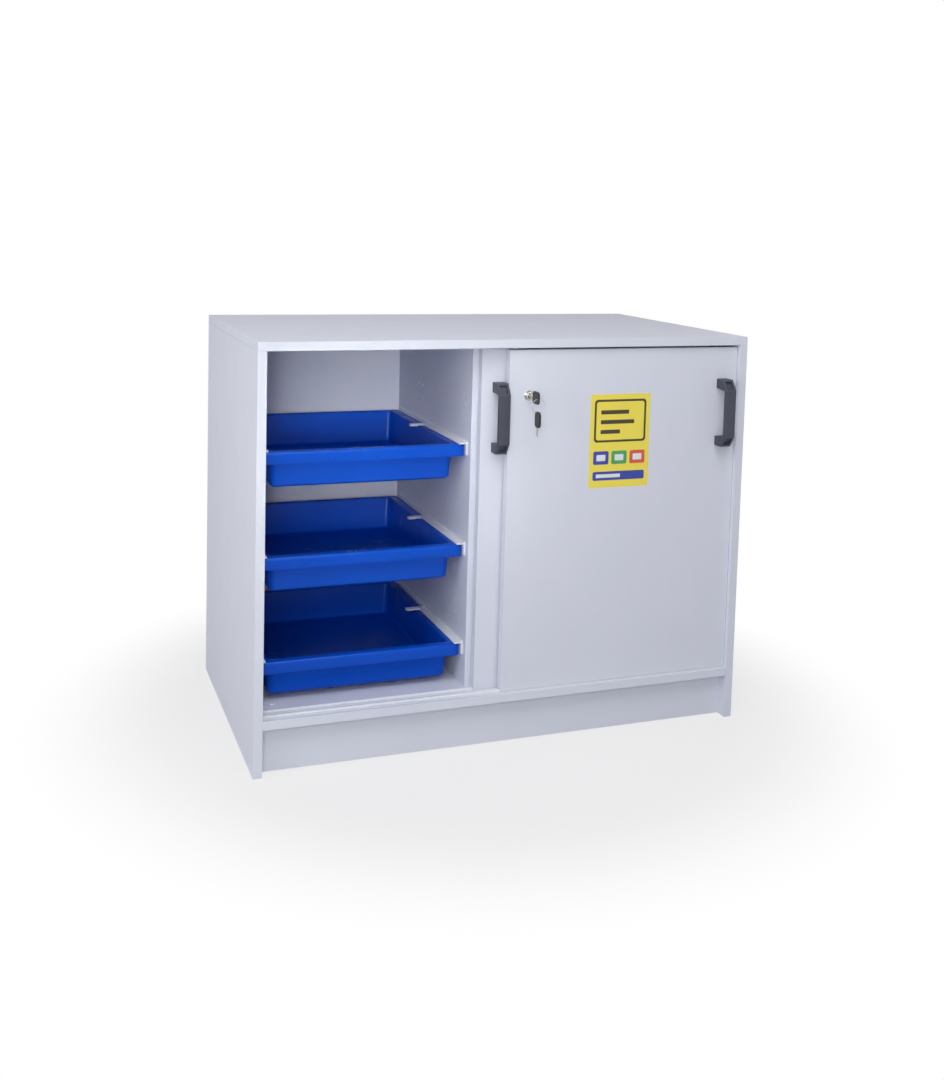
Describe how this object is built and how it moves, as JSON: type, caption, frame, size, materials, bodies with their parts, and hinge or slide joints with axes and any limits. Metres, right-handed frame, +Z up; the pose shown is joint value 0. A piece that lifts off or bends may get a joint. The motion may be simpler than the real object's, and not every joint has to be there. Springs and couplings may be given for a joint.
{
  "type": "acid storage cabinet",
  "caption": "Low laboratory board cabinet for corrosives with sliding doors, a push lock and pull-out retention trays on moulded runners.",
  "frame": {"origin": "on the floor, at the middle of the whole object's plan, handles and hanging keys included", "axes": "+Z up, +Y from the doors to the back, +X to the right as seen from the front"},
  "size_m": [1.13, 0.705, 0.9],
  "materials": {
    "melamine_board": "light grey melamine-faced board with matching edge bands",
    "track_plastic": "white extruded and moulded plastic",
    "wheel_plastic": "grey nylon",
    "handle_plastic": "dark grey moulded plastic, satin",
    "screw_steel": "zinc-plated steel",
    "tray_plastic": "blue moulded polypropylene, satin",
    "runner_plastic": "white moulded plastic",
    "lock_chrome": "chrome-plated",
    "key_plastic": "black moulded head on a nickel-plated blade",
    "ring_steel": "bright steel wire",
    "dowel_wood": "bare beech"
  },
  "bodies": {
    "carcass": {"back_panel": "melamine_board", "base_panel": "melamine_board", "bottom_track_front": "track_plastic", "bottom_track_rear": "track_plastic", "cover_caps": "track_plastic", "left_bay_left_runner_bottom": "runner_plastic", "left_bay_left_runner_middle": "runner_plastic", "left_bay_left_runner_screws": "screw_steel", "left_bay_left_runner_top": "runner_plastic", "left_bay_right_runner_bottom": "runner_plastic", "left_bay_right_runner_middle": "runner_plastic", "left_bay_right_runner_screws": "screw_steel", "left_bay_right_runner_top": "runner_plastic", "left_divider": "melamine_board", "left_side_panel": "melamine_board", "level_dowels": "dowel_wood", "plinth_front": "melamine_board", "plinth_rear": "melamine_board", "right_bay_left_runner_bottom": "runner_plastic", "right_bay_left_runner_middle": "runner_plastic", "right_bay_left_runner_screws": "screw_steel", "right_bay_left_runner_top": "runner_plastic", "right_bay_right_runner_bottom": "runner_plastic", "right_bay_right_runner_middle": "runner_plastic", "right_bay_right_runner_screws": "screw_steel", "right_bay_right_runner_top": "runner_plastic", "right_divider": "melamine_board", "right_side_panel": "melamine_board", "top_channel_front": "track_plastic", "top_channel_rear": "track_plastic", "top_panel": "melamine_board", "upright_dowels": "dowel_wood"},
    "left_door": {"left_door": "melamine_board", "left_handle": "handle_plastic", "left_handle_screws": "screw_steel", "left_door_guides": "track_plastic", "left_roller_housings": "track_plastic", "left_roller_axles": "screw_steel"},
    "right_door": {"right_door": "melamine_board", "right_handle": "handle_plastic", "right_handle_screws": "screw_steel", "right_door_guides": "track_plastic", "right_roller_housings": "track_plastic", "right_roller_axles": "screw_steel", "lock_housing": "lock_chrome"},
    "lock_plunger": {"lock_plunger": "lock_chrome"},
    "lock_key": {"lock_core": "lock_chrome", "door_key": "key_plastic"},
    "key_ring": {"key_ring": "ring_steel"},
    "spare_key": {"spare_key": "key_plastic"},
    "left_door_left_wheel": {"left_door_left_wheel": "wheel_plastic"},
    "left_door_right_wheel": {"left_door_right_wheel": "wheel_plastic"},
    "right_door_left_wheel": {"right_door_left_wheel": "wheel_plastic"},
    "right_door_right_wheel": {"right_door_right_wheel": "wheel_plastic"},
    "left_tray_top": {"left_tray_top": "tray_plastic"},
    "left_tray_middle": {"left_tray_middle": "tray_plastic"},
    "left_tray_bottom": {"left_tray_bottom": "tray_plastic"},
    "right_tray_top": {"right_tray_top": "tray_plastic"},
    "right_tray_middle": {"right_tray_middle": "tray_plastic"},
    "right_tray_bottom": {"right_tray_bottom": "tray_plastic"}
  },
  "joints": [
    {"name": "left_door_slide", "type": "slide", "parent": "carcass", "child": "left_door", "axis": [1, 0, 0], "range_m": [-0.4715, 0]},
    {"name": "right_door_slide", "type": "slide", "parent": "carcass", "child": "right_door", "axis": [1, 0, 0], "range_m": [-0.0015, 0]},
    {"name": "left_door_left_wheel_roll", "type": "hinge", "parent": "left_door", "child": "left_door_left_wheel", "pos_m": [0.0065, -0.251, 0.1323], "axis": [0, 1, 0], "continuous": true},
    {"name": "left_door_right_wheel_roll", "type": "hinge", "parent": "left_door", "child": "left_door_right_wheel", "pos_m": [0.4115, -0.251, 0.1323], "axis": [0, 1, 0], "continuous": true},
    {"name": "right_door_left_wheel_roll", "type": "hinge", "parent": "right_door", "child": "right_door_left_wheel", "pos_m": [0.06, -0.278, 0.1323], "axis": [0, 1, 0], "continuous": true},
    {"name": "right_door_right_wheel_roll", "type": "hinge", "parent": "right_door", "child": "right_door_right_wheel", "pos_m": [0.465, -0.278, 0.1323], "axis": [0, 1, 0], "continuous": true},
    {"name": "left_tray_top_slide", "type": "slide", "parent": "carcass", "child": "left_tray_top", "axis": [0, -1, 0], "range_m": [0, 0.213]},
    {"name": "left_tray_middle_slide", "type": "slide", "parent": "carcass", "child": "left_tray_middle", "axis": [0, -1, 0], "range_m": [0, 0.213]},
    {"name": "left_tray_bottom_slide", "type": "slide", "parent": "carcass", "child": "left_tray_bottom", "axis": [0, -1, 0], "range_m": [0, 0.213]},
    {"name": "right_tray_top_slide", "type": "slide", "parent": "carcass", "child": "right_tray_top", "axis": [0, -1, 0], "range_m": [0, 0.022]},
    {"name": "right_tray_middle_slide", "type": "slide", "parent": "carcass", "child": "right_tray_middle", "axis": [0, -1, 0], "range_m": [0, 0.022]},
    {"name": "right_tray_bottom_slide", "type": "slide", "parent": "carcass", "child": "right_tray_bottom", "axis": [0, -1, 0], "range_m": [0, 0.022]},
    {"name": "lock_push", "type": "slide", "parent": "right_door", "child": "lock_plunger", "axis": [0, 1, 0], "range_m": [0, 0.008], "stiffness_N_per_m": 200},
    {"name": "key_turn", "type": "hinge", "parent": "lock_plunger", "child": "lock_key", "pos_m": [0.027, -0.2875, 0.777], "axis": [0, 1, 0], "range_deg": [-90, 0]},
    {"name": "ring_swing", "type": "hinge", "parent": "lock_key", "child": "key_ring", "pos_m": [0.027, -0.339, 0.777], "axis": [1, 0, 0], "range_deg": [-30, 15]},
    {"name": "spare_key_swing", "type": "hinge", "parent": "key_ring", "child": "spare_key", "pos_m": [0.027, -0.339, 0.74417], "axis": [1, 0, 0], "range_deg": [-30, 15]}
  ],
  "couplings": [
    {"joint": "left_door_left_wheel_roll", "follows": "left_door_slide", "rad_per_m": 125},
    {"joint": "left_door_right_wheel_roll", "follows": "left_door_slide", "rad_per_m": 125},
    {"joint": "right_door_left_wheel_roll", "follows": "right_door_slide", "rad_per_m": 125},
    {"joint": "right_door_right_wheel_roll", "follows": "right_door_slide", "rad_per_m": 125}
  ]
}
